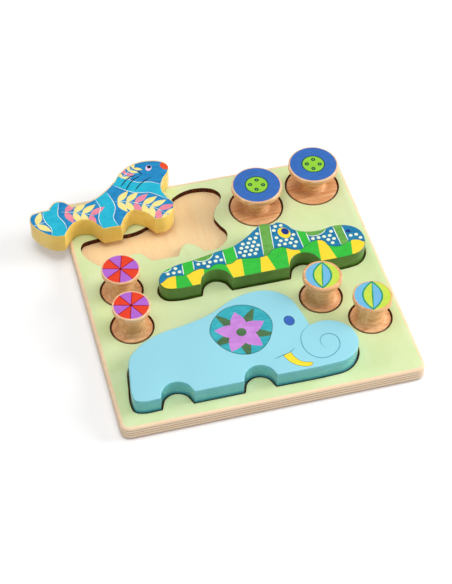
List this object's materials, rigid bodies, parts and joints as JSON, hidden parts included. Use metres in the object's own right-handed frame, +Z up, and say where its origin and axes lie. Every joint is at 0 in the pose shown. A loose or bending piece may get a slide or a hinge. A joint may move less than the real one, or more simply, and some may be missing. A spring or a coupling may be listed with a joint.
{
  "type": "relief puzzle",
  "caption": "Square wooden tray with cut-out pockets for chunky animal pieces and thread spools that lift out and stack.",
  "frame": {"origin": "middle of the tray's underside", "axes": "+Z up; +X along the tray's front edge to the right; +Y from the front edge to the back"},
  "size_m": [0.2682, 0.2565, 0.0386],
  "materials": {
    "birch_ply": "sanded plywood, bare",
    "lime_paint": "satin printed paint on plywood",
    "sky_blue_paint": "satin paint",
    "leaf_green_paint": "satin paint",
    "sea_blue_paint": "satin paint",
    "beech": "turned beech, lightly oiled"
  },
  "bodies": {
    "tray": {"tray_base": "birch_ply", "tray_frame": "lime_paint"},
    "elephant": {"elephant": "sky_blue_paint"},
    "crocodile": {"crocodile": "leaf_green_paint"},
    "seal": {"seal": "sea_blue_paint"},
    "button_spool_left": {"button_spool_left": "beech"},
    "button_spool_right": {"button_spool_right": "beech"},
    "wheel_spool_back": {"wheel_spool_back": "beech"},
    "wheel_spool_front": {"wheel_spool_front": "beech"},
    "ball_spool_left": {"ball_spool_left": "beech"},
    "ball_spool_right": {"ball_spool_right": "beech"}
  },
  "joints": [
    {"name": "lift_elephant", "type": "slide", "parent": "tray", "child": "elephant", "axis": [0, 0, 1], "range_m": [0, 0.035]},
    {"name": "lift_crocodile", "type": "slide", "parent": "tray", "child": "crocodile", "axis": [0, 0, 1], "range_m": [0, 0.035]},
    {"name": "lift_seal", "type": "slide", "parent": "tray", "child": "seal", "axis": [0, 0, 1], "range_m": [0, 0.035]},
    {"name": "lift_button_spool_left", "type": "slide", "parent": "tray", "child": "button_spool_left", "axis": [0, 0, 1], "range_m": [0, 0.035]},
    {"name": "lift_button_spool_right", "type": "slide", "parent": "tray", "child": "button_spool_right", "axis": [0, 0, 1], "range_m": [0, 0.035]},
    {"name": "lift_wheel_spool_back", "type": "slide", "parent": "tray", "child": "wheel_spool_back", "axis": [0, 0, 1], "range_m": [0, 0.035]},
    {"name": "lift_wheel_spool_front", "type": "slide", "parent": "tray", "child": "wheel_spool_front", "axis": [0, 0, 1], "range_m": [0, 0.035]},
    {"name": "lift_ball_spool_left", "type": "slide", "parent": "tray", "child": "ball_spool_left", "axis": [0, 0, 1], "range_m": [0, 0.035]},
    {"name": "lift_ball_spool_right", "type": "slide", "parent": "tray", "child": "ball_spool_right", "axis": [0, 0, 1], "range_m": [0, 0.035]}
  ]
}
